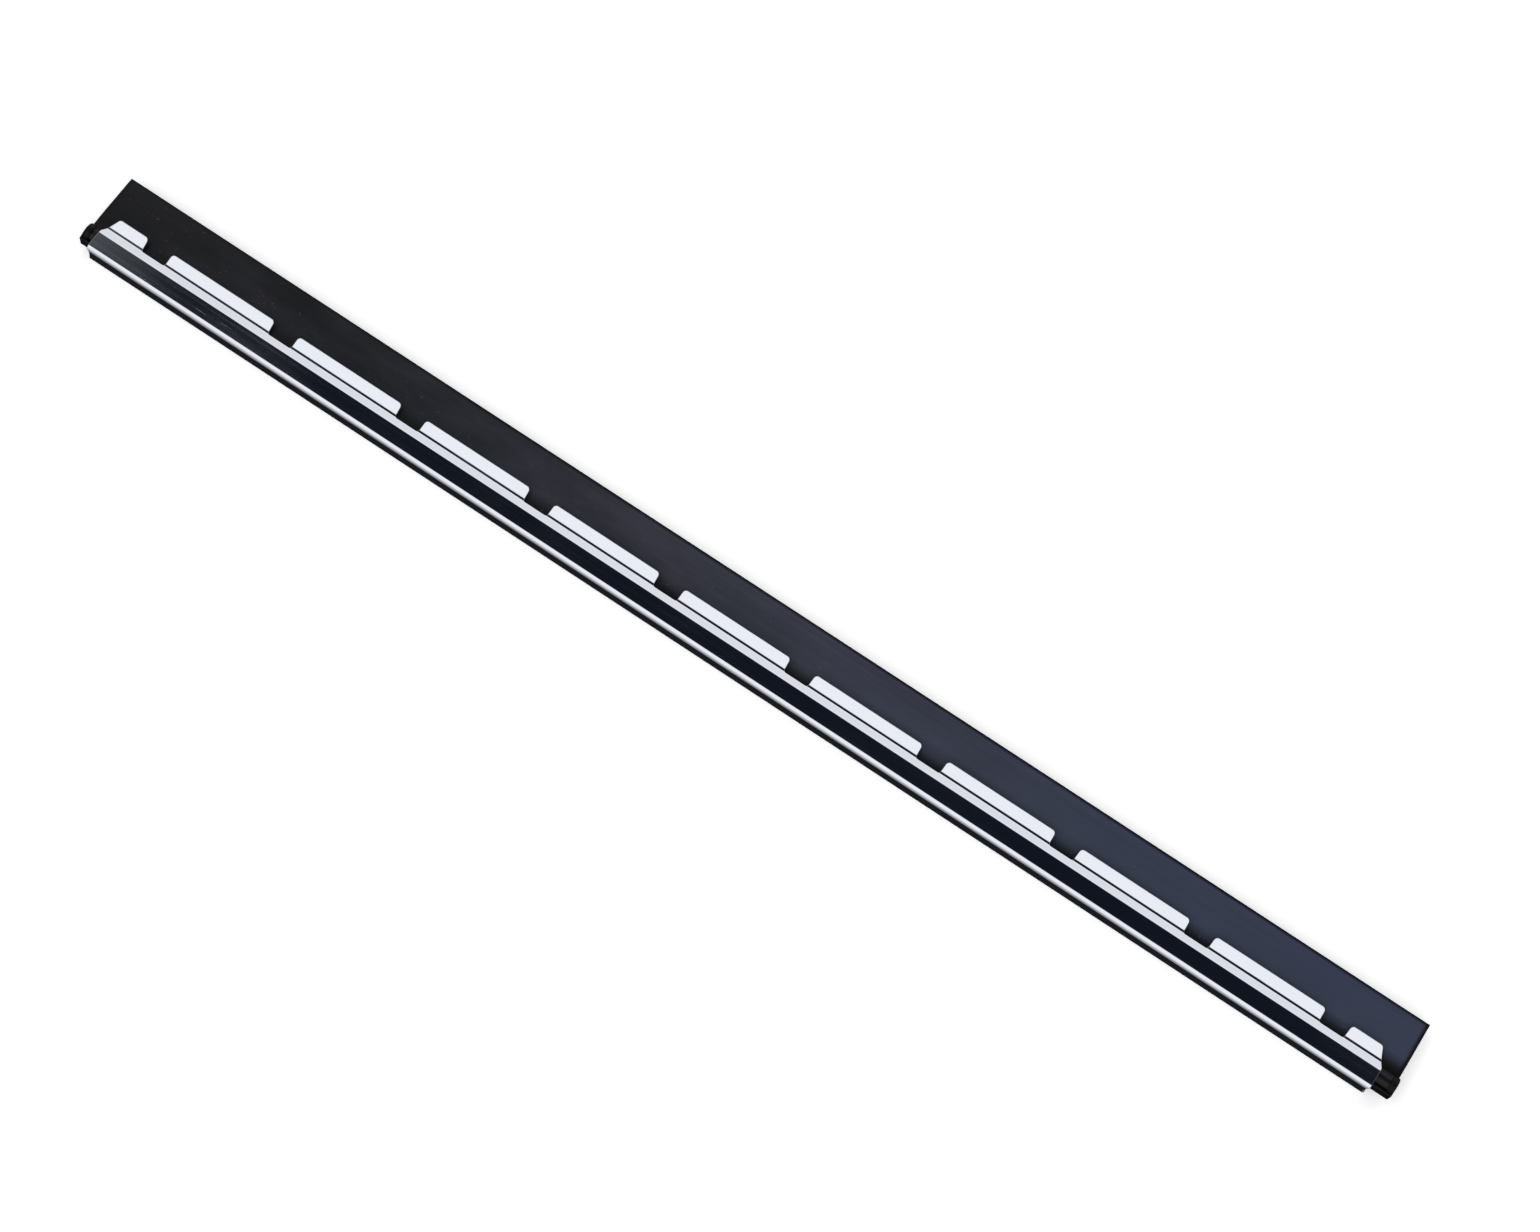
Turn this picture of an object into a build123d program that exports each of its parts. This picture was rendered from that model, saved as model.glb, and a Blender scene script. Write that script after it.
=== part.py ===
"""Window-cleaning squeegee channel with its rubber blade and two end clips.

Millimetres. X runs along the channel, +Y points to the wiping edge and +Z is up, with the assembly
lying flat on its side. The origin is on the surface that it lies on, under the middle of its box.
"""

import os

from build123d import *

# Channel: one strip of stainless steel, folded lengthwise round the blade's bead. The fold's sizes
# are those of its outer surface, and its heights are measured from the middle of its thickness.
CHANNEL_LENGTH = 348.8
CHANNEL_SHIFT = -0.9  # the channel's middle from the blade's middle
SHEET = 0.7
BODY_HALF = 3.0
DEPTH_HALF = 10.55  # half of the distance from the channel's back to the wiping edge
LIP_Y = -0.25  # edge of the lips
LIP_HALF = 3.1  # the lips flare to just outside the side panels
CREASE_Y = -3.25  # where the lips pinch the blade's neck
CREASE_HALF = 2.0
SHOULDER_Y = -5.45  # where the side panels turn in towards the crease
CREASE_BEND = 1.4
SHOULDER_BEND = 1.2
BACK_BEND = 1.35

# Tongues: notches punched through both lips, and a slanted cut at each end.
NOTCH_COUNT = 10
NOTCH_PITCH = 35.7
NOTCH_MOUTH = 6.8
NOTCH_FLOOR = 6.4
NOTCH_FLOOR_Y = -3.5
NOTCH_ROUND = 0.6
TONGUE_ROUND = 0.9
END_CUT_X = 2.3
END_CUT_Y = -4.75
BACK_CORNER_ROUND = 0.7

# Rubber blade: one extrusion, with a round bead, a neck and a tapered blade.
BLADE_LENGTH = 356.2
BEAD_Y = -6.15
BEAD_RADIUS = 2.1
BEAD_ROOT_ROUND = 0.5
NECK_HALF = 1.2
ROOT_Y = -0.5  # where the blade is thickest
ROOT_HALF = 1.3
TIP_HALF = 1.0

# End clips: a head with a cup that caps the bead's end, and a prong that slides in behind the bead.
HEAD_GAP = 0.05
HEAD_THICKNESS = 0.4
HEAD_CHAMFER = 0.25
HEAD_LEDGE = 0.05  # the head stands out round the prong by this much
CUP_DEPTH = 1.3
CUP_CLEARANCE = 0.05
CUP_WALL = 0.3
CUP_SLOT_HALF = 1.3  # the cup is open towards the blade
PRONG_LENGTH = 15.0
PRONG_FRONT_Y = -8.35
PRONG_BACK_Y = -8.9
PRONG_HALF = 1.6
PRONG_ROUND = 0.25
PAD_LENGTH = 3.5  # the prong's free end is thickened into a pad that rubs on the channel's back
PAD_BACK_Y = -9.7
PAD_LEAD = 0.2  # chamfer at both ends of the pad

MID_Z = LIP_HALF
CHANNEL_LEFT = CHANNEL_SHIFT - CHANNEL_LENGTH / 2
CHANNEL_RIGHT = CHANNEL_SHIFT + CHANNEL_LENGTH / 2
CUP_RADIUS = BEAD_RADIUS + CUP_CLEARANCE


def section_plane(x):
    """The plane across the assembly at x. Its own x runs along +Y and its own y along +Z."""
    return Plane(origin=(x, 0, MID_Z), x_dir=(0, 1, 0), z_dir=(1, 0, 0))


def blank_corners():
    """Corners of the folded strip seen from above, anticlockwise from the back's left corner."""
    corners = [(CHANNEL_LEFT, -DEPTH_HALF), (CHANNEL_RIGHT, -DEPTH_HALF)]
    corners += [(CHANNEL_RIGHT, END_CUT_Y), (CHANNEL_RIGHT - END_CUT_X, LIP_Y)]
    for i in reversed(range(NOTCH_COUNT)):
        middle = CHANNEL_SHIFT + (i - (NOTCH_COUNT - 1) / 2) * NOTCH_PITCH
        corners += [(middle + NOTCH_MOUTH / 2, LIP_Y), (middle + NOTCH_FLOOR / 2, NOTCH_FLOOR_Y)]
        corners += [(middle - NOTCH_FLOOR / 2, NOTCH_FLOOR_Y), (middle - NOTCH_MOUTH / 2, LIP_Y)]
    return corners + [(CHANNEL_LEFT + END_CUT_X, LIP_Y), (CHANNEL_LEFT, END_CUT_Y)]


def vertices_at(sketch, y):
    """The sketch's vertices on the line at y."""
    return sketch.vertices().filter_by_position(Axis.Y, y - 0.01, y + 0.01)


# The fold's outer line goes from the upper lip round the back to the lower lip.
half_fold = [(LIP_Y, LIP_HALF), (CREASE_Y, CREASE_HALF), (SHOULDER_Y, BODY_HALF), (-DEPTH_HALF, BODY_HALF)]
whole_fold = half_fold + [(y, -z) for y, z in reversed(half_fold)]
fold_bends = [CREASE_BEND, SHOULDER_BEND, BACK_BEND, BACK_BEND, SHOULDER_BEND, CREASE_BEND]

with BuildPart() as channel:
    with BuildSketch(section_plane(CHANNEL_LEFT)):
        with BuildLine():
            FilletPolyline(*whole_fold, radius=fold_bends)
            offset(amount=SHEET, side=Side.LEFT)
        make_face()
    extrude(amount=CHANNEL_LENGTH)
    with BuildSketch(Plane.XY) as blank:
        with BuildLine():
            Polyline(*blank_corners(), close=True)
        make_face()
        fillet(vertices_at(blank, NOTCH_FLOOR_Y), NOTCH_ROUND)
        fillet(vertices_at(blank, LIP_Y), TONGUE_ROUND)
        fillet(vertices_at(blank, -DEPTH_HALF), BACK_CORNER_ROUND)
    extrude(amount=2 * LIP_HALF, mode=Mode.INTERSECT)
channel.part.label = "channel"

blade_half_outline = [(BEAD_Y, NECK_HALF), (CREASE_Y, NECK_HALF), (ROOT_Y, ROOT_HALF), (DEPTH_HALF, TIP_HALF)]
blade_outline = blade_half_outline + [(y, -z) for y, z in reversed(blade_half_outline)]

with BuildPart() as rubber_blade:
    with BuildSketch(section_plane(-BLADE_LENGTH / 2)) as blade_section:
        with BuildLine():
            Polyline(*blade_outline, close=True)
        make_face()
        with Locations((BEAD_Y, 0)):
            Circle(BEAD_RADIUS)
    extrude(amount=BLADE_LENGTH)
    bead_roots = rubber_blade.edges().filter_by(Axis.X).filter_by_position(Axis.Y, BEAD_Y, CREASE_Y - 0.1)
    fillet(bead_roots, BEAD_ROOT_ROUND)
rubber_blade.part.label = "rubber_blade"


def end_clip(side):
    """One end clip: side is +1 at the blade's right end and -1 at its left end."""
    head_face = side * (BLADE_LENGTH / 2 + HEAD_GAP)
    outermost, innermost = (-1, 0) if side > 0 else (0, -1)
    prong_middle = ((PRONG_FRONT_Y + PRONG_BACK_Y) / 2, 0)
    prong_size = (PRONG_FRONT_Y - PRONG_BACK_Y, 2 * PRONG_HALF)
    head_foot_size = [size + 2 * HEAD_LEDGE for size in prong_size]
    slot_align = (Align.MIN, Align.CENTER)  # the cup's slot runs from the bead's axis towards the blade
    with BuildPart() as clip:
        with BuildSketch(section_plane(head_face)):
            with Locations((BEAD_Y, 0)):
                Circle(CUP_RADIUS + CUP_WALL)
            with Locations(prong_middle):
                RectangleRounded(*head_foot_size, PRONG_ROUND + HEAD_LEDGE)
            make_hull()
        extrude(amount=side * HEAD_THICKNESS)
        chamfer(clip.faces().sort_by(Axis.X)[outermost].edges(), HEAD_CHAMFER)
        with BuildSketch(section_plane(head_face)):
            with Locations(prong_middle):
                RectangleRounded(*prong_size, PRONG_ROUND)
        extrude(amount=-side * PRONG_LENGTH)
        with BuildSketch(section_plane(head_face - side * PRONG_LENGTH)):
            with Locations(((PRONG_FRONT_Y + PAD_BACK_Y) / 2, 0)):
                RectangleRounded(PRONG_FRONT_Y - PAD_BACK_Y, 2 * PRONG_HALF, PRONG_ROUND)
        extrude(amount=side * PAD_LENGTH)
        chamfer(clip.faces().sort_by(Axis.X)[innermost].edges(), PAD_LEAD)
        with BuildSketch(section_plane(head_face)):
            with Locations((BEAD_Y, 0)):
                Circle(CUP_RADIUS + CUP_WALL)
                Circle(CUP_RADIUS, mode=Mode.SUBTRACT)
                Rectangle(2 * CUP_RADIUS, 2 * CUP_SLOT_HALF, align=slot_align, mode=Mode.SUBTRACT)
        extrude(amount=-side * CUP_DEPTH)
    return clip.part


right_end_clip = end_clip(+1)
right_end_clip.label = "right_end_clip"
left_end_clip = end_clip(-1)
left_end_clip.label = "left_end_clip"

os.makedirs("parts", exist_ok=True)
for piece in (channel.part, rubber_blade.part, right_end_clip, left_end_clip):
    export_step(piece, f"parts/{piece.label}.step")
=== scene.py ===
"""Looks of a squeegee channel with its rubber blade and end clips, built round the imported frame.

Lengths in the script are millimetres, in the frame's own axes: X along the channel, +Y towards the
wiping edge and +Z up. They become metres where a mesh is made. Heights in a section are measured from
the middle of the assembly's thickness.
"""
import math

import bmesh
import bpy
from mathutils import Matrix, Vector


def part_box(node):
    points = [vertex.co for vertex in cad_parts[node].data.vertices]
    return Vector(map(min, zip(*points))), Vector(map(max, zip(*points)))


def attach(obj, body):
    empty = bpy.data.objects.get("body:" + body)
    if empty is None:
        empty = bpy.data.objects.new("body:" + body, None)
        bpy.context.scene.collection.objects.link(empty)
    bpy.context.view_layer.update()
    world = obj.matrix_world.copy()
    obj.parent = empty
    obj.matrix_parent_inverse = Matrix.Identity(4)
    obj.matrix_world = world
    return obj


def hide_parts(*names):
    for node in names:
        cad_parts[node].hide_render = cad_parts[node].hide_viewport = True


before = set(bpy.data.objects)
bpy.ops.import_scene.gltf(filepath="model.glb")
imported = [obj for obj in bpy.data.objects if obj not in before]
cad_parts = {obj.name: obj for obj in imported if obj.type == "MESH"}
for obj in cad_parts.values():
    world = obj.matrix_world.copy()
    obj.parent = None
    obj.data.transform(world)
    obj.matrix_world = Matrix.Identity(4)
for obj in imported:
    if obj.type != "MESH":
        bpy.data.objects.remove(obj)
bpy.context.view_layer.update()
MM = 0.001

# ---------------------------------------------------------------- sizes, from the frame and the design


def node_box(name):
    """A CAD node's lowest and highest corners in millimetres."""
    low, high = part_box(name)
    return low / MM, high / MM


CHANNEL_LOW, CHANNEL_HIGH = node_box("channel")
BLADE_LOW, BLADE_HIGH = node_box("rubber_blade")
MID_Z = (CHANNEL_LOW.z + CHANNEL_HIGH.z) / 2

# channel: the fold's outer surface, and the outline of its tongues from above
SHEET = 0.7
BODY_HALF = 3.0
LIP_Y, LIP_HALF = CHANNEL_HIGH.y, CHANNEL_HIGH.z - MID_Z
CREASE_Y, CREASE_HALF = LIP_Y - 3.0, 2.0
SHOULDER_Y = LIP_Y - 5.2
BACK_Y = CHANNEL_LOW.y
CREASE_BEND, SHOULDER_BEND, BACK_BEND = 1.4, 1.2, 1.35
SHEET_EDGE_ROUND = 0.1

NOTCH_COUNT = 10
NOTCH_PITCH = 35.7
NOTCH_MOUTH, NOTCH_FLOOR = 6.8, 6.4
NOTCH_FLOOR_Y = LIP_Y - 3.25
NOTCH_ROUND, TONGUE_ROUND = 0.6, 0.9
END_CUT_X, END_CUT_Y = 2.3, LIP_Y - 4.5
BACK_CORNER_ROUND = 0.7
BACK_CORNER_FADE = 3.0  # columns of the mesh give way to the rounded corner over this length

# rubber blade
TIP_Y, TIP_HALF = BLADE_HIGH.y, 1.0
ROOT_Y, ROOT_HALF = -0.5, 1.3
NECK_HALF = 1.2
BEAD_RADIUS = (BLADE_HIGH.z - BLADE_LOW.z) / 2
BEAD_Y = BLADE_LOW.y + BEAD_RADIUS
BEAD_ROOT_ROUND = 0.5
BLADE_EDGE_ROUND = 0.06
BLADE_ROOT_BEND = 2.0
CUT_END_ROUND = 0.05
BLADE_WAVE = 0.07  # most that the free part rises or falls

# end clips
HEAD_GAP, HEAD_THICKNESS, HEAD_LEDGE, HEAD_ROUND = 0.05, 0.4, 0.05, 0.25
CUP_RADIUS, CUP_OUTER, CUP_DEPTH, CUP_SLOT_HALF = 2.15, 2.45, 1.3, 1.3
CUP_RIM_ROUND = 0.1
PRONG_FRONT_Y, PRONG_BACK_Y, PRONG_HALF, PRONG_LENGTH = -8.35, -8.9, 1.6, 15.0
PRONG_ROUND = 0.25
PAD_BACK_Y, PAD_LENGTH, PAD_LEAD = -9.7, 3.5, 0.2
GATE_RADIUS, GATE_DEPTH = 0.6, 0.1

# how finely the meshes follow their outlines
ARC_STEP, COARSE_ARC_STEP = math.radians(9), math.radians(15)
SECTION_STEP, BLADE_SECTION_STEP = 0.8, 1.0
EDGE_STEP, EDGE_LONG_STEP = 0.6, 3.0
BLADE_COLUMNS = 160
BEAD_STEPS, BEAD_ROOT_STEPS = 16, 5
CUP_STEPS, CUP_OUTLINE_STEPS, LEDGE_STEPS, GATE_STEPS = 48, 14, 6, 32
MERGE_DISTANCE = 0.002
SHARP_ANGLE = math.radians(32)  # a clip's edges that turn by more than this stay crisp

# floor and surround: an EDGE is a pair between which one tone fades into the next
FLOOR_HALF = 40000.0
FLOOR_GLOW = 0.38  # the backdrop is a sheet lit softly from behind
SURROUND_COLOUR, SURROUND_STRENGTH = (1.0, 1.0, 1.0), 1.36
LOW_COLOUR, LOW_EDGE = (0.27, 0.28, 0.30), (-0.5, 0.75)  # the surround darkens between these heights
SIDE_COLOUR = (0.07, 0.075, 0.09)  # of a low dark band to the left and right
SIDE_EDGE = (0.46, 0.64)  # how far to the side it fades in
SIDE_HEIGHTS = ((0.17, 0.28), (0.42, 0.62))  # heights between which it fades in, and out again
BELOW_COLOUR = (0.012, 0.012, 0.015)
BELOW_EDGE = (-0.74, -0.58)  # heights of the directions between which the dark below gives way to white
PANEL_COLOUR = (0.006, 0.008, 0.014)
PANEL_FRONT_EDGES = ((-48, -32), (2, 14))  # degrees from overhead towards the front: fading in, and out
PANEL_RIGHT_EDGES = ((-30, -18), (38, 60))  # and towards the right

# camera
CAMERA_PLACE = (74.44, -233.56, 700.54)
CAMERA_AIM = (3.78, 6.55, 3.1)
CAMERA_UP = (-0.5441, 0.7748, 0.3219)
CAMERA_LENS, CAMERA_SENSOR, CAMERA_CLIP_START = 75.8, 36.0, 20.0

# ---------------------------------------------------------------- outlines


def rounded_path(corners, radii, arc_step=ARC_STEP, run_step=math.inf):
    """Points and left-hand normals along straight runs joined by arcs.

    There is one radius for each corner between the two ends. A run longer than run_step is divided.
    """
    points = [Vector(corner) for corner in corners]
    samples = []

    def add(point, normal):
        """Adds a sample, after dividing a long run up to it."""
        if samples:
            last, last_normal = samples[-1]
            pieces = math.ceil((point - last).length / run_step)
            for i in range(1, pieces):
                samples.append((last.lerp(point, i / pieces), last_normal))
        samples.append((point, normal))

    def left_normal(a, b):
        along = (b - a).normalized()
        return Vector((-along.y, along.x))

    add(points[0], left_normal(points[0], points[1]))
    for before, corner, after, radius in zip(points, points[1:], points[2:], radii):
        normal_in, normal_out = left_normal(before, corner), left_normal(corner, after)
        turn = math.atan2(normal_in.x * normal_out.y - normal_in.y * normal_out.x, normal_in.dot(normal_out))
        side = math.copysign(1, turn)
        start = corner + (before - corner).normalized() * radius * math.tan(abs(turn) / 2)
        centre = start + side * radius * normal_in
        steps = max(2, math.ceil(abs(turn) / arc_step))
        for i in range(steps + 1):
            normal = Matrix.Rotation(turn * i / steps, 2) @ normal_in
            add(centre - side * radius * normal, normal)
    add(points[-1], left_normal(points[-2], points[-1]))
    return samples


def channel_fold():
    """The outer surface across the channel, upper lip to lower lip, as (y, z) points and outward normals."""
    half = [(LIP_Y, LIP_HALF), (CREASE_Y, CREASE_HALF), (SHOULDER_Y, BODY_HALF), (BACK_Y, BODY_HALF)]
    corners = half + [(y, -z) for y, z in reversed(half)]
    bends = [CREASE_BEND, SHOULDER_BEND, BACK_BEND, BACK_BEND, SHOULDER_BEND, CREASE_BEND]
    return [(point, -normal) for point, normal in rounded_path(corners, bends, run_step=SECTION_STEP)]


def lip_edge():
    """The edge of the tongues and notches seen from above, from the channel's left end to its right end."""
    left, right = CHANNEL_LOW.x, CHANNEL_HIGH.x
    middle = (left + right) / 2
    corners = [(left, END_CUT_Y), (left + END_CUT_X, LIP_Y)]
    radii = [TONGUE_ROUND]
    for i in range(NOTCH_COUNT):
        notch = middle + (i - (NOTCH_COUNT - 1) / 2) * NOTCH_PITCH
        corners += [(notch - NOTCH_MOUTH / 2, LIP_Y), (notch - NOTCH_FLOOR / 2, NOTCH_FLOOR_Y)]
        corners += [(notch + NOTCH_FLOOR / 2, NOTCH_FLOOR_Y), (notch + NOTCH_MOUTH / 2, LIP_Y)]
        radii += [TONGUE_ROUND, NOTCH_ROUND, NOTCH_ROUND, TONGUE_ROUND]
    corners += [(right - END_CUT_X, LIP_Y), (right, END_CUT_Y)]
    radii += [TONGUE_ROUND]
    # short steps on the slanted sides, longer ones along the tongues and the notch floors
    samples = rounded_path(corners, radii, arc_step=COARSE_ARC_STEP, run_step=EDGE_STEP)
    edge = [samples[0][0]]
    for (point, _), (following, _) in zip(samples[1:], samples[2:]):
        level = abs(point.y - following.y) < 1e-6 and abs(point.y - edge[-1].y) < 1e-6
        if not level or point.x - edge[-1].x > EDGE_LONG_STEP:
            edge.append(point)
    return edge + [samples[-1][0]]


# ---------------------------------------------------------------- meshes


def make_object(name, bm, normals=None):
    """A smooth-shaded object from a bmesh in millimetres, with exact vertex normals if they are given."""
    bmesh.ops.scale(bm, vec=(MM, MM, MM), verts=bm.verts)
    mesh = bpy.data.meshes.new(name)
    bm.to_mesh(mesh)
    bm.free()
    for polygon in mesh.polygons:
        polygon.use_smooth = True
    if normals:
        mesh.normals_split_custom_set_from_vertices(normals)
    obj = bpy.data.objects.new(name, mesh)
    bpy.context.scene.collection.objects.link(obj)
    return obj


def face_outwards(bm):
    """Turns a closed mesh's faces so that they all face out."""
    bmesh.ops.recalc_face_normals(bm, faces=bm.faces)
    if bm.calc_volume(signed=True) < 0:
        bmesh.ops.reverse_faces(bm, faces=bm.faces)


def corner_shift(x, y):
    """How far a point near a rounded back corner moves in from the channel's end."""
    depth = (BACK_Y + BACK_CORNER_ROUND) - y
    if depth <= 0:
        return 0.0
    inset = BACK_CORNER_ROUND - math.sqrt(max(BACK_CORNER_ROUND**2 - depth**2, 0.0))
    from_left, from_right = x - CHANNEL_LOW.x, CHANNEL_HIGH.x - x
    if from_left < from_right:
        return inset * max(0.0, 1 - from_left / BACK_CORNER_FADE)
    return -inset * max(0.0, 1 - from_right / BACK_CORNER_FADE)


def fold_up_to(fold, edge_y):
    """The part of the fold that lies behind edge_y, with a sample exactly on edge_y at each end."""

    def cut(samples):
        """Drops the leading samples in front of edge_y and starts on it."""
        for i, ((a, na), (b, nb)) in enumerate(zip(samples, samples[1:])):
            if a.x >= edge_y > b.x:
                t = (a.x - edge_y) / (a.x - b.x)
                return [(a.lerp(b, t), na.lerp(nb, t).normalized())] + samples[i + 1:]
        return samples

    return cut(cut(fold)[::-1])[::-1]


def build_channel():
    """The folded strip: an outer and an inner skin, joined by a rounded edge all round."""
    fold = channel_fold()
    edge = lip_edge()
    bm = bmesh.new()
    normals = []

    def add(point, normal):
        normals.append(normal)
        return bm.verts.new(point)

    def column_at(x, edge_y):
        """Samples across the fold at one place along the channel, as (position, outward normal)."""
        column = []
        for point, normal in fold_up_to(fold, edge_y):
            place = Vector((x + corner_shift(x, point.x), point.x, point.y + MID_Z))
            column.append((place, Vector((0, normal.x, normal.y))))
        return column

    # one column for each point of the lip edge
    columns = [column_at(spot.x, spot.y) for spot in edge]

    # the boundary goes along the upper lip, down the right end, back along the lower lip and up the left end
    upper = [(i, 0) for i in range(len(columns))]
    right_end = [(len(columns) - 1, j) for j in range(1, len(columns[-1]) - 1)]
    lower = [(i, len(columns[i]) - 1) for i in reversed(range(len(columns)))]
    left_end = [(0, j) for j in reversed(range(1, len(columns[0]) - 1))]
    boundary = upper + right_end + lower + left_end
    outward = {}
    for k, (i, j) in enumerate(boundary):
        (pi, pj), (ni, nj) = boundary[k - 1], boundary[(k + 1) % len(boundary)]
        along = (columns[ni][nj][0] - columns[pi][pj][0]).normalized()
        outward[(i, j)] = along.cross(columns[i][j][1]).normalized() * -1

    # the skins stop short of the edge by its rounding, and their columns move in with their own ends
    r = SHEET_EDGE_ROUND
    skin_columns = []
    for i, column in enumerate(columns):
        if i in (0, len(columns) - 1):
            end_column = []
            for j, (point, normal) in enumerate(column):
                end_column.append((point - outward[(i, j)] * r, normal))
            skin_columns.append(end_column)
            continue
        tips = [column[j][0] - outward[(i, j)] * r for j in (0, len(column) - 1)]
        inner_column = column_at(tips[0].x, tips[0].y)
        inner_column[0] = (tips[0], column[0][1])
        inner_column[-1] = (tips[1], column[-1][1])
        skin_columns.append(inner_column)
    skins = []
    for depth, sign in ((0.0, 1.0), (SHEET, -1.0)):
        skins.append([[add(point - normal * depth, normal * sign) for point, normal in column]
                      for column in skin_columns])

    def face(verts, flip):
        bm.faces.new(verts[::-1] if flip else verts)

    for skin, flip in ((skins[0], False), (skins[1], True)):
        for a, b in zip(skin, skin[1:]):
            # both columns share the samples nearest the middle, and the longer one fans out past them
            middle_a, middle_b = len(a) // 2, len(b) // 2
            for half_a, half_b, turn in ((a[:middle_a + 1][::-1], b[:middle_b + 1][::-1], True),
                                         (a[middle_a:], b[middle_b:], False)):
                shared = min(len(half_a), len(half_b))
                for j in range(shared - 1):
                    face([half_a[j], half_a[j + 1], half_b[j + 1], half_b[j]], flip != turn)
                for j in range(shared - 1, len(half_a) - 1):
                    face([half_a[j], half_a[j + 1], half_b[-1]], flip != turn)
                for j in range(shared - 1, len(half_b) - 1):
                    face([half_b[j], half_a[-1], half_b[j + 1]], flip != turn)

    # the rounded edge: five bands between the two skins
    skin_boundary = [(i, j if j < 1 or i in (0, len(columns) - 1) else len(skin_columns[i]) - 1)
                     for i, j in boundary]
    loops = [[skins[0][i][j] for i, j in skin_boundary]]
    for depth, angles, sign in ((0.0, (45, 90), 1.0), (SHEET, (90, 45), -1.0)):
        for degrees in angles:
            s, c = math.sin(math.radians(degrees)), math.cos(math.radians(degrees))
            loop = []
            for i, j in boundary:
                point, normal = columns[i][j]
                out = outward[(i, j)]
                centre = point - normal * (depth + sign * r) - out * r
                direction = out * s + normal * c * sign
                loop.append(add(centre + direction * r, direction))
            loops.append(loop)
    loops.append([skins[1][i][j] for i, j in skin_boundary])
    for inner, outer in zip(loops, loops[1:]):
        for k in range(len(boundary)):
            n = (k + 1) % len(boundary)
            rim = bm.faces.new([inner[k], inner[n], outer[n], outer[k]])
            rim.material_index = 1
    face_outwards(bm)
    return make_object("channel_sheet", bm, normals)


def cylinder_point(centre_y, radius, angle):
    """A point of a circle in a section, and its outward normal; the angle is from +y towards +z."""
    normal = Vector((math.cos(angle), math.sin(angle)))
    return Vector((centre_y, 0)) + normal * radius, normal


def mirrored_ring(upper):
    """A closed ring of (point, normal) from its upper half, which runs from the highest y to the lowest."""
    on_axis = [abs(point.y) < 1e-6 for point, _ in (upper[0], upper[-1])]
    lower = [(Vector((p.x, -p.y)), Vector((n.x, -n.y))) for p, n in reversed(upper)]
    return upper + lower[1 if on_axis[1] else 0:len(lower) - (1 if on_axis[0] else 0)]


def blade_ring():
    """The rubber's section: a squared wiping edge, a tapered blade, a neck and a round bead."""
    fillet_height = NECK_HALF + BEAD_ROOT_ROUND
    root_reach = math.sqrt((BEAD_RADIUS + BEAD_ROOT_ROUND)**2 - fillet_height**2)
    root_angle = math.atan2(fillet_height, root_reach)
    corners = [(TIP_Y, 0.0), (TIP_Y, TIP_HALF), (ROOT_Y, ROOT_HALF), (CREASE_Y, NECK_HALF)]
    corners.append((BEAD_Y + root_reach, NECK_HALF))
    bends = [BLADE_EDGE_ROUND, BLADE_ROOT_BEND, BLADE_ROOT_BEND]
    path = rounded_path(corners, bends, run_step=BLADE_SECTION_STEP)
    upper = [(point, -normal) for point, normal in path]
    fillet_centre = Vector((BEAD_Y + root_reach, fillet_height))
    for i in range(1, BEAD_ROOT_STEPS + 1):
        angle = -math.pi / 2 - (math.pi / 2 - root_angle) * i / BEAD_ROOT_STEPS
        direction = Vector((math.cos(angle), math.sin(angle)))
        upper.append((fillet_centre + direction * BEAD_ROOT_ROUND, -direction))
    for i in range(1, BEAD_STEPS + 1):
        angle = root_angle + (math.pi - root_angle) * i / BEAD_STEPS
        upper.append(cylinder_point(BEAD_Y, BEAD_RADIUS, angle))
    return mirrored_ring(upper)


def box_ring(low_y, high_y, half, radius):
    """The section of a bar with rounded corners."""
    corners = [(high_y, 0), (high_y, half), (low_y, half), (low_y, 0)]
    samples = rounded_path(corners, [radius, radius], arc_step=COARSE_ARC_STEP, run_step=SECTION_STEP)
    return mirrored_ring([(point, -normal) for point, normal in samples])


def head_ring():
    """The clip head's outline: the cup's circle and the prong's ledge, joined by their common tangents."""
    ledge_round = PRONG_ROUND + HEAD_LEDGE
    ledge_centre = Vector((PRONG_BACK_Y - HEAD_LEDGE + ledge_round, PRONG_HALF + HEAD_LEDGE - ledge_round))
    reach = ledge_centre - Vector((BEAD_Y, 0))
    tangent = math.atan2(reach.y, reach.x) - math.acos((CUP_OUTER - ledge_round) / reach.length)
    angles = [tangent * i / CUP_OUTLINE_STEPS for i in range(CUP_OUTLINE_STEPS + 1)]
    upper = [cylinder_point(BEAD_Y, CUP_OUTER, angle) for angle in angles]
    for i in range(LEDGE_STEPS + 1):
        angle = tangent + (math.pi - tangent) * i / LEDGE_STEPS
        direction = Vector((math.cos(angle), math.sin(angle)))
        upper.append((ledge_centre + direction * ledge_round, direction))
    upper.append((Vector((ledge_centre.x - ledge_round, 0)), Vector((-1, 0))))
    return mirrored_ring(upper)


def rounded_end(end_x, inward, radius, steps=3):
    """Stations of one rounded end, from its flat face inwards, as (x, inset, tilt of the normal)."""
    stations = []
    for i in range(steps + 1):
        tilt = math.pi / 2 * (1 - i / steps)
        stations.append((end_x + inward * radius * (1 - math.sin(tilt)), radius * (1 - math.cos(tilt)), tilt))
    return stations


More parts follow.
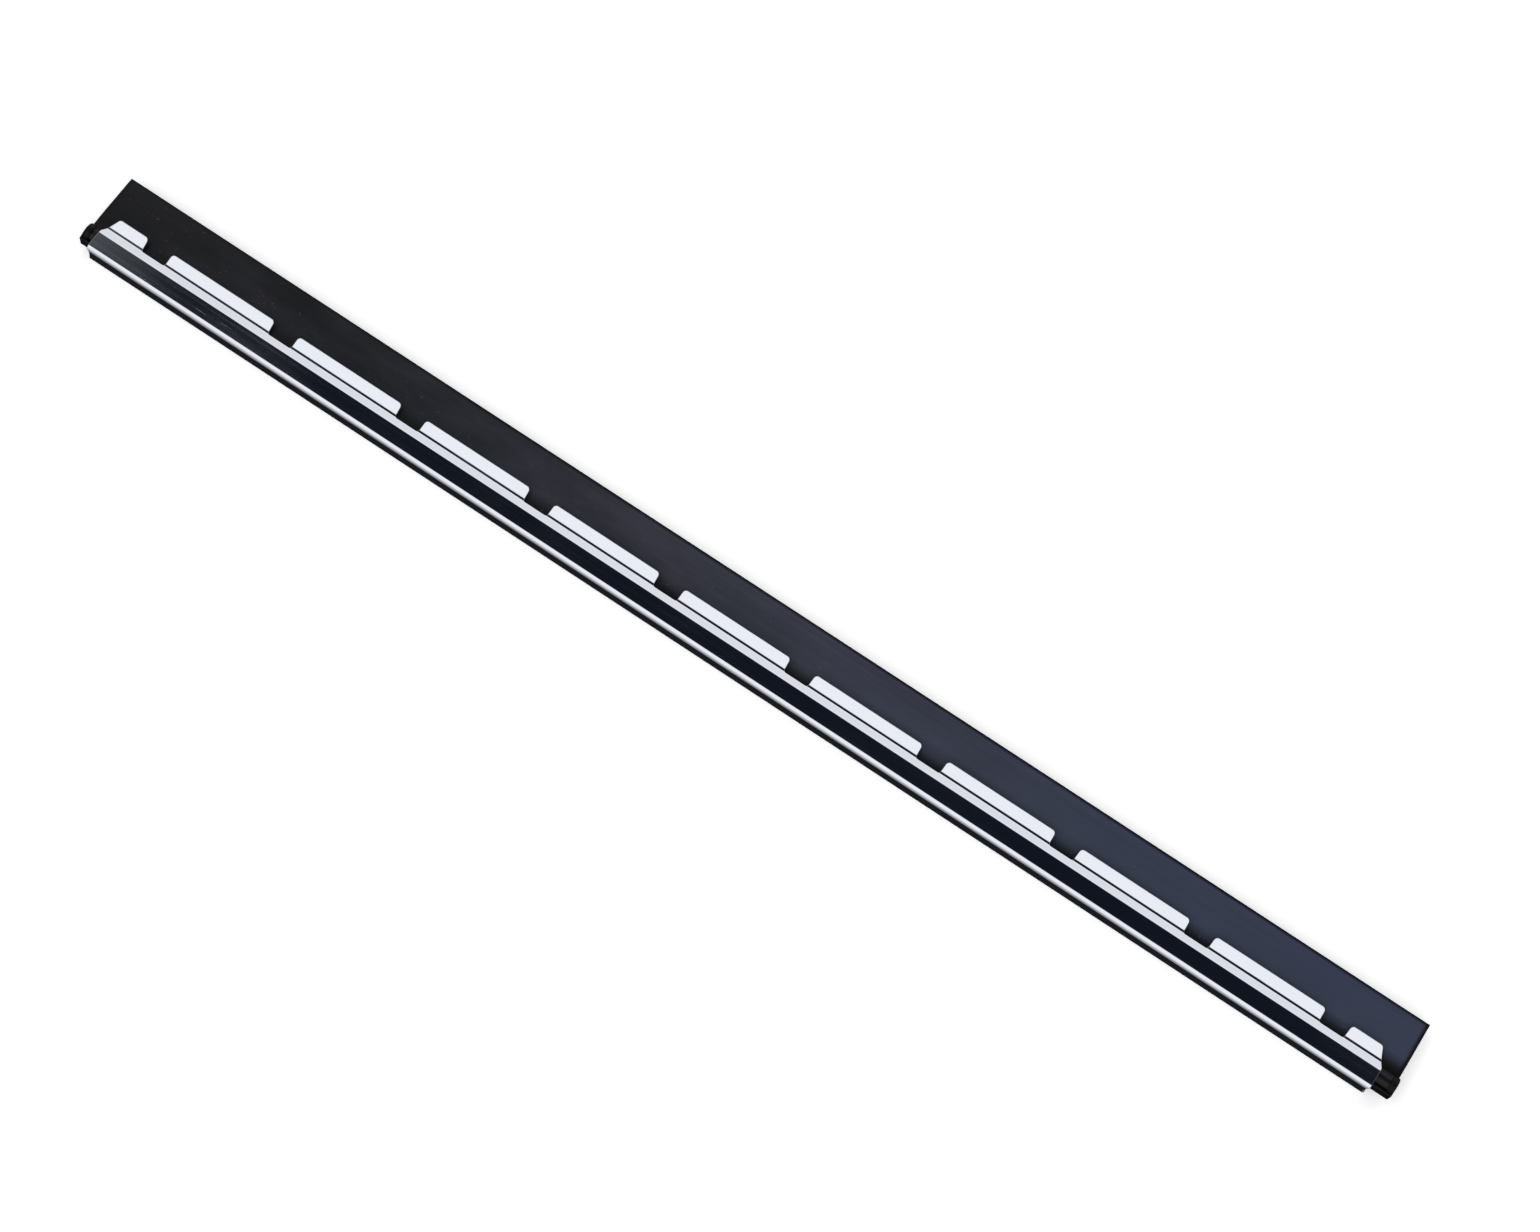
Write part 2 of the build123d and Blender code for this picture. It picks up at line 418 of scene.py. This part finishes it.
def loft(name, ring, low_end, high_end, columns=1, shift=None):
    """A closed solid along X: a ring's copies from one rounded end to the other, between flat end faces.

    Shift gives how far a point at (x, y) is raised, if the solid isn't straight. The end faces get the
    second material.
    """
    bm = bmesh.new()
    normals = []
    stations = [(x, inset, -tilt) for x, inset, tilt in low_end]
    start, stop = low_end[-1][0], high_end[-1][0]
    stations += [(start + (stop - start) * i / columns, 0.0, 0.0) for i in range(1, columns)]
    stations += [(x, inset, tilt) for x, inset, tilt in reversed(high_end)]

    def add_ring(x, inset, tilt):
        verts = []
        for point, normal in ring:
            spot = point - normal * inset
            rise = shift(x, spot.x) if shift else 0.0
            verts.append(bm.verts.new((x, spot.x, spot.y + rise + MID_Z)))
            across = math.cos(tilt)
            normals.append(Vector((math.sin(tilt), normal.x * across, normal.y * across)))
        return verts

    rings = [add_ring(*station) for station in stations]
    for a, b in zip(rings, rings[1:]):
        for k in range(len(ring)):
            bm.faces.new([a[k - 1], a[k], b[k], b[k - 1]])
    for end in (0, -1):
        cap = bm.faces.new(rings[end])
        cap.material_index = 1
    face_outwards(bm)
    bmesh.ops.triangulate(bm, faces=[face for face in bm.faces if face.material_index == 1])
    return make_object(name, bm, normals)


def blade_wave(x, y):
    """How far the free part of the rubber rises and falls along its length."""
    free = max(0.0, (y - ROOT_Y) / (TIP_Y - ROOT_Y))
    swing = 0.6 * math.sin(x / 41.0 + 0.7) + 0.4 * math.sin(x / 17.0 + 2.1)
    return BLADE_WAVE * swing * free**2


def build_cup(side, head_face):
    """The C-shaped wall that caps the bead's end, swept round the bead with the opening to the blade."""
    bm = bmesh.new()
    opening = math.asin(CUP_SLOT_HALF / CUP_RADIUS)
    inner, outer = CUP_RADIUS, CUP_OUTER
    bed, rim = head_face + side * HEAD_THICKNESS / 2, head_face - side * CUP_DEPTH
    r = CUP_RIM_ROUND
    middle = 0.3 * r  # where the rim's rounding is at 45 degrees
    wall = [(bed, inner), (rim + side * r, inner), (rim + side * middle, inner + middle), (rim, inner + r)]
    wall += [(rim, outer - r), (rim + side * middle, outer - middle), (rim + side * r, outer), (bed, outer)]
    rings = []
    for i in range(CUP_STEPS + 1):
        angle = opening + (math.tau - 2 * opening) * i / CUP_STEPS
        c, s = math.cos(angle), math.sin(angle)
        rings.append([bm.verts.new((x, BEAD_Y + radius * c, MID_Z + radius * s)) for x, radius in wall])
    for a, b in zip(rings, rings[1:]):
        for k in range(len(wall)):
            bm.faces.new([a[k - 1], a[k], b[k], b[k - 1]])
    bm.faces.new(rings[0])
    bm.faces.new(rings[-1])
    face_outwards(bm)
    return make_object("cup", bm)


def build_clip(name, side):
    """One end clip in one closed mesh: the head with its gate mark, the cup and the prong."""
    head_face = side * (BLADE_HIGH.x + HEAD_GAP)
    head_end = head_face + side * HEAD_THICKNESS
    flat = [(head_face, 0.0, 0.0)]
    ends = [rounded_end(head_end, -side, HEAD_ROUND), flat]
    head = loft("head", head_ring(), *(ends[::-1] if side > 0 else ends))
    prong_free = head_face - side * PRONG_LENGTH
    pad_root = prong_free + side * PAD_LENGTH
    bars = []
    for bar_name, back_y, near, far in (("prong", PRONG_BACK_Y, pad_root - side * PAD_LENGTH / 2, None),
                                        ("pad", PAD_BACK_Y, prong_free, pad_root)):
        lead = [(near, PAD_LEAD, math.pi / 4), (near + side * PAD_LEAD, 0.0, 0.0)]
        root = [(head_face + side * HEAD_THICKNESS / 2, 0.0, 0.0)]
        if far:
            root = [(far, PAD_LEAD, math.pi / 4), (far - side * PAD_LEAD, 0.0, 0.0)]
        ring = box_ring(back_y, PRONG_FRONT_Y, PRONG_HALF, PRONG_ROUND)
        bars.append(loft(bar_name, ring, *((lead, root) if side > 0 else (root, lead))))
    prong, pad = bars
    cup = build_cup(side, head_face)
    gate_angles = [math.tau * i / GATE_STEPS for i in range(GATE_STEPS)]
    gate_ring = [cylinder_point(BEAD_Y, GATE_RADIUS, angle) for angle in gate_angles]
    gate_floor = [(head_end - side * GATE_DEPTH, 0.0, 0.0)]
    gate_top = [(head_end + side, 0.0, 0.0)]
    gate = loft("gate", gate_ring, *((gate_floor, gate_top) if side > 0 else (gate_top, gate_floor)))
    for tool, operation in ((prong, "UNION"), (pad, "UNION"), (cup, "UNION"), (gate, "DIFFERENCE")):
        modifier = head.modifiers.new(tool.name, "BOOLEAN")
        modifier.operation = operation
        modifier.solver = "EXACT"
        modifier.object = tool
    bpy.context.view_layer.update()
    evaluated = head.evaluated_get(bpy.context.evaluated_depsgraph_get())
    mesh = bpy.data.meshes.new_from_object(evaluated)
    for piece in (head, prong, pad, cup, gate):
        bpy.data.objects.remove(piece)
    bm = bmesh.new()
    bm.from_mesh(mesh)
    bmesh.ops.remove_doubles(bm, verts=bm.verts, dist=MERGE_DISTANCE * MM)
    bmesh.ops.dissolve_degenerate(bm, edges=bm.edges, dist=MERGE_DISTANCE * MM)
    for face in bm.faces:
        face.smooth = True
        face.material_index = 0
    for edge in bm.edges:
        edge.smooth = edge.calc_face_angle(0.0) < SHARP_ANGLE
    mesh.clear_geometry()
    bm.to_mesh(mesh)
    bm.free()
    clip = bpy.data.objects.new(name, mesh)
    bpy.context.scene.collection.objects.link(clip)
    return clip


# ---------------------------------------------------------------- materials


def add_node(tree, kind, inputs=None, **settings):
    """A node with its settings. Its inputs are numbers, colours or other nodes' output sockets."""
    node = tree.nodes.new(kind)
    for name, value in settings.items():
        setattr(node, name, value)
    for key, value in (inputs or {}).items():
        if isinstance(value, bpy.types.NodeSocket):
            tree.links.new(value, node.inputs[key])
        else:
            node.inputs[key].default_value = value
    return node


def math_node(tree, operation, *values):
    return add_node(tree, "ShaderNodeMath", dict(enumerate(values)), operation=operation).outputs[0]


def ramp(tree, value, low, high, to_low=0.0, to_high=1.0):
    """A value mapped smoothly from low..high to to_low..to_high."""
    inputs = {"Value": value, "From Min": low, "From Max": high, "To Min": to_low, "To Max": to_high}
    return add_node(tree, "ShaderNodeMapRange", inputs, interpolation_type="SMOOTHSTEP").outputs[0]


def pattern(tree, per_metre, turn=(0, 0, 0), detail=3.0, roughness=0.55, offset=0.0):
    """Noise over the piece, with its own count of features per metre along each axis."""
    coords = add_node(tree, "ShaderNodeTexCoord").outputs["Object"]
    turned = add_node(tree, "ShaderNodeMapping", {"Vector": coords, "Rotation": turn}).outputs[0]
    placed = add_node(tree, "ShaderNodeMapping", {"Vector": turned, "Scale": per_metre,
                                                  "Location": (offset, offset, offset)}).outputs[0]
    inputs = {"Vector": placed, "Scale": 1.0, "Detail": detail, "Roughness": roughness}
    return add_node(tree, "ShaderNodeTexNoise", inputs).outputs["Fac"]


def mix_colour(tree, factor, a, b):
    """A colour between a and b, which are colours or sockets."""
    inputs = {"Factor": factor}
    for key, colour in ((6, a), (7, b)):
        inputs[key] = (*colour, 1) if isinstance(colour, tuple) else colour
    return add_node(tree, "ShaderNodeMix", inputs, data_type="RGBA").outputs[2]


def bump(tree, height, distance, below=None, strength=1.0):
    """A bump whose heights are in metres, on top of the bump below it."""
    inputs = {"Height": height, "Distance": distance, "Strength": strength}
    if below:
        inputs["Normal"] = below
    return add_node(tree, "ShaderNodeBump", inputs).outputs[0]


def new_material(name, **constants):
    """A material, its tree and its shader, with the shader's constants set on their own sockets."""
    material = bpy.data.materials.new(name)
    material.use_nodes = True
    tree = material.node_tree
    shader = tree.nodes["Principled BSDF"]
    for socket, value in constants.items():
        shader.inputs[socket].default_value = value
    return material, tree, shader


def connect(tree, shader, **sockets):
    for name, socket in sockets.items():
        tree.links.new(socket, shader.inputs[name.replace("_", " ")])


def steel_sheet():
    """Bright cold-rolled stainless sheet with fine lines along the channel, light scratches and smudges."""
    material, tree, shader = new_material("bright_stainless", Metallic=1.0, Anisotropic=0.25)
    lines = pattern(tree, (9, 1900, 1900), detail=4.0, roughness=0.7)
    broad_lines = pattern(tree, (3, 420, 420), detail=2.0, offset=3.1)
    smudges = pattern(tree, (28, 70, 70), detail=4.0, offset=7.7)
    scratch = None
    for turn, offset in ((0.012, 1.0), (-0.02, 5.0), (0.045, 9.0)):
        threads = pattern(tree, (60, 6500, 6500), turn=(0, 0, turn), detail=1.0, offset=offset)
        mark = ramp(tree, threads, 0.79, 0.84)
        scratch = math_node(tree, "MAXIMUM", scratch, mark) if scratch else mark
    tint = mix_colour(tree, smudges, (0.575, 0.60, 0.657), (0.622, 0.645, 0.697))
    tint = mix_colour(tree, ramp(tree, lines, 0.3, 0.75), tint, (0.60, 0.615, 0.662))
    dull = ramp(tree, smudges, 0.42, 0.72, 0.085, 0.15)
    dull = math_node(tree, "ADD", dull, ramp(tree, lines, 0.3, 0.8, -0.015, 0.035))
    dull = math_node(tree, "ADD", dull, math_node(tree, "MULTIPLY", scratch, 0.10))
    relief = bump(tree, lines, 0.0000035)
    relief = bump(tree, broad_lines, 0.000012, relief)
    relief = bump(tree, math_node(tree, "MULTIPLY", scratch, -1.0), 0.000003, relief)
    connect(tree, shader, Base_Color=tint, Roughness=dull, Normal=relief)
    return material


def steel_cut_edge():
    """The sheared edge of the sheet: a burnished part and a matt broken part, with fine shear marks."""
    material, tree, shader = new_material("sheared_stainless", Metallic=1.0)
    grain = pattern(tree, (2600, 2600, 500), detail=5.0, roughness=0.7)
    patches = pattern(tree, (240, 240, 240), detail=2.0, offset=2.0)
    tint = mix_colour(tree, patches, (0.30, 0.31, 0.33), (0.44, 0.45, 0.47))
    dull = math_node(tree, "ADD", ramp(tree, patches, 0.35, 0.65, 0.24, 0.42),
                     ramp(tree, grain, 0.3, 0.7, -0.05, 0.06))
    connect(tree, shader, Base_Color=tint, Roughness=dull, Normal=bump(tree, grain, 0.00001))
    return material


def blade_rubber():
    """Black natural rubber: a satin skin with faint lines along the extrusion, specks of dust, a painted
    bluish sheen that grows towards the right end, and painted shade next to the ends, the wiping edge and the
    tongues.
    """
    material, tree, shader = new_material("black_rubber_skin", **{"Specular IOR Level": 0.22})
    lines = pattern(tree, (6, 900, 900), detail=3.0, roughness=0.6)
    grain = pattern(tree, (2600, 2600, 2600), detail=2.0, offset=4.0)
    sheen_and_roughness_noise = pattern(tree, (34, 90, 90), detail=5.0, roughness=0.6, offset=8.0)
    specks = ramp(tree, pattern(tree, (1500, 1500, 1500), detail=0.0, offset=11.0), 0.80, 0.84)
    place = add_node(tree, "ShaderNodeTexCoord").outputs["Object"]
    along, across, _ = add_node(tree, "ShaderNodeSeparateXYZ", {0: place}).outputs
    # painted sheen and a slightly lighter black stay away from the ends, the wiping edge and the tongues;
    # next to them the black is darker, as painted shade
    end_gap = math_node(tree, "SUBTRACT", BLADE_HIGH.x * MM, math_node(tree, "ABSOLUTE", along))
    clear_of_end = ramp(tree, end_gap, 0.3 * MM, 1.4 * MM)
    clear_of_tip = ramp(tree, across, (TIP_Y - 1.1) * MM, (TIP_Y - 0.2) * MM, 1, 0)
    clear_of_lips = ramp(tree, across, (LIP_Y - 3.2) * MM, (LIP_Y + 1.4) * MM)
    outside_painted_shade = math_node(tree, "MULTIPLY", clear_of_end, clear_of_tip)
    outside_painted_shade = math_node(tree, "MULTIPLY", outside_painted_shade, clear_of_lips)
    streaks = pattern(tree, (5, 380, 380), detail=4.0, roughness=0.7, offset=2.5)
    # painted sheen: a bluish grey lift that grows along the rubber towards its right end, standing for light
    # reflected off it, broken up by noise and lengthwise streaks
    painted_sheen = math_node(tree, "ADD", along, math_node(tree, "MULTIPLY", sheen_and_roughness_noise, 0.16))
    painted_sheen = math_node(tree, "MULTIPLY", ramp(tree, painted_sheen, -0.12, 0.18), outside_painted_shade)
    painted_sheen = math_node(tree, "MULTIPLY", painted_sheen, ramp(tree, streaks, 0.25, 0.75, 0.84, 1.16))
    # painted shade: the black is darker near the ends, the wiping edge and the tongues
    black = mix_colour(tree, outside_painted_shade, (0.0020, 0.0020, 0.0024), (0.0045, 0.0048, 0.0058))
    # the painted sheen's colour turns bluer towards the right end
    tint_place = math_node(tree, "ADD", along, math_node(tree, "MULTIPLY", sheen_and_roughness_noise, 0.10))
    sheen_blueness = ramp(tree, tint_place, 0.0, 0.20)
    painted_sheen_colour = mix_colour(tree, sheen_blueness, (0.052, 0.054, 0.076), (0.043, 0.054, 0.091))
    tint = mix_colour(tree, painted_sheen, black, painted_sheen_colour)
    tint = mix_colour(tree, math_node(tree, "MULTIPLY", specks, 0.35), tint, (0.09, 0.09, 0.09))
    dull = math_node(tree, "ADD", ramp(tree, sheen_and_roughness_noise, 0.3, 0.75, 0.34, 0.44),
                     ramp(tree, lines, 0.3, 0.7, -0.03, 0.03))
    relief = bump(tree, lines, 0.000010)
    relief = bump(tree, grain, 0.000004, relief)
    connect(tree, shader, Base_Color=tint, Roughness=dull, Normal=relief)
    return material


def rubber_cut_face():
    """The rubber's guillotined ends: a little greyer and duller, with the knife's drag marks."""
    material, tree, shader = new_material("cut_black_rubber", **{"Specular IOR Level": 0.25})
    drag = pattern(tree, (1500, 1500, 160), detail=4.0, roughness=0.65)
    tint = mix_colour(tree, drag, (0.006, 0.006, 0.0065), (0.013, 0.013, 0.014))
    connect(tree, shader, Base_Color=tint, Roughness=ramp(tree, drag, 0.3, 0.7, 0.62, 0.78),
            Normal=bump(tree, drag, 0.00002))
    return material


def clip_plastic():
    """Black moulded plastic with a fine spark-eroded grain and lightly rubbed spots."""
    material, tree, shader = new_material("black_moulded_plastic", **{"Specular IOR Level": 0.11})
    grain = pattern(tree, (3200, 3200, 3200), detail=3.0, roughness=0.6)
    rubbed = pattern(tree, (300, 300, 300), detail=3.0, offset=6.0)
    tint = mix_colour(tree, rubbed, (0.0022, 0.0022, 0.0025), (0.0052, 0.0053, 0.0058))
    dull = math_node(tree, "ADD", ramp(tree, rubbed, 0.35, 0.7, 0.36, 0.50),
                     ramp(tree, grain, 0.3, 0.7, -0.04, 0.04))
    connect(tree, shader, Base_Color=tint, Roughness=dull, Normal=bump(tree, grain, 0.000012))
    return material


def floor_paper():
    """Pale matt backdrop paper."""
    material, tree, shader = new_material("pale_paper", Roughness=0.9,
                                          **{"Emission Color": (1, 1, 1, 1), "Emission Strength": FLOOR_GLOW})
    fibres = pattern(tree, (60, 60, 60), detail=6.0)
    tint = mix_colour(tree, fibres, (0.93, 0.93, 0.93), (0.94, 0.94, 0.94))
    connect(tree, shader, Base_Color=tint)
    return material


# ---------------------------------------------------------------- the object


def finish_piece(piece, node, body, materials):
    """Gives a piece its materials, hides the frame's part that it stands in for and sets the body it moves
    with.
    """
    for material in materials:
        piece.data.materials.append(material)
    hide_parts(node)
    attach(piece, body)


channel_sheet = build_channel()
finish_piece(channel_sheet, "channel", "channel", [steel_sheet(), steel_cut_edge()])

cut_ends = [rounded_end(end, inward, CUT_END_ROUND, steps=2)
            for end, inward in ((BLADE_LOW.x, 1), (BLADE_HIGH.x, -1))]
blade_strip = loft("blade_strip", blade_ring(), *cut_ends, columns=BLADE_COLUMNS, shift=blade_wave)
finish_piece(blade_strip, "rubber_blade", "blade", [blade_rubber(), rubber_cut_face()])

plastic = clip_plastic()
for name, side in (("left", -1), ("right", 1)):
    clip = build_clip(f"{name}_clip_moulding", side)
    finish_piece(clip, f"{name}_end_clip", f"{name}_clip", [plastic])

# ---------------------------------------------------------------- floor, light and camera


def build_floor():
    bm = bmesh.new()
    bmesh.ops.create_grid(bm, x_segments=8, y_segments=8, size=FLOOR_HALF)
    floor = make_object("floor", bm)
    floor.data.materials.append(floor_paper())
    floor.visible_glossy = False


def light_studio():
    """A white surround for the steel to reflect, dark low at the sides and below, with a dark panel above."""
    world = bpy.data.worlds.new("studio")
    bpy.context.scene.world = world
    world.use_nodes = True
    tree = world.node_tree
    direction = add_node(tree, "ShaderNodeTexCoord").outputs["Generated"]
    axes = add_node(tree, "ShaderNodeSeparateXYZ", {0: direction}).outputs
    to_front = math_node(tree, "ARCTAN2", math_node(tree, "MULTIPLY", axes[1], -1.0), axes[2])
    to_right = math_node(tree, "ARCTAN2", axes[0], axes[2])
    panel = None
    for angle, edges in ((to_front, PANEL_FRONT_EDGES), (to_right, PANEL_RIGHT_EDGES)):
        rise, fall = [[math.radians(degrees) for degrees in edge] for edge in edges]
        for edge in (ramp(tree, angle, *rise), ramp(tree, angle, *fall, 1.0, 0.0)):
            panel = math_node(tree, "MULTIPLY", panel, edge) if panel else edge
    surround = mix_colour(tree, ramp(tree, axes[2], *LOW_EDGE), LOW_COLOUR, SURROUND_COLOUR)
    band = ramp(tree, math_node(tree, "ABSOLUTE", axes[0]), *SIDE_EDGE)
    band = math_node(tree, "MULTIPLY", band, ramp(tree, axes[2], *SIDE_HEIGHTS[0]))
    band = math_node(tree, "MULTIPLY", band, ramp(tree, axes[2], *SIDE_HEIGHTS[1], 1.0, 0.0))
    surround = mix_colour(tree, band, surround, SIDE_COLOUR)
    colour = mix_colour(tree, panel, surround, PANEL_COLOUR)
    colour = mix_colour(tree, ramp(tree, axes[2], *BELOW_EDGE), BELOW_COLOUR, colour)
    background = tree.nodes["Background"]
    tree.links.new(colour, background.inputs["Color"])
    background.inputs["Strength"].default_value = SURROUND_STRENGTH


def add_camera():
    data = bpy.data.cameras.new("camera")
    data.sensor_width = CAMERA_SENSOR
    data.lens = CAMERA_LENS
    data.clip_start = CAMERA_CLIP_START * MM
    camera = bpy.data.objects.new("camera", data)
    bpy.context.scene.collection.objects.link(camera)
    place, aim, up = Vector(CAMERA_PLACE), Vector(CAMERA_AIM), Vector(CAMERA_UP)
    forward = (aim - place).normalized()
    right = forward.cross(up).normalized()
    turned = Matrix((right, right.cross(forward), -forward)).transposed()
    camera.matrix_world = Matrix.Translation(place * MM) @ turned.to_4x4()
    bpy.context.scene.camera = camera


build_floor()
light_studio()
add_camera()
bpy.context.scene.view_settings.view_transform = "Standard"
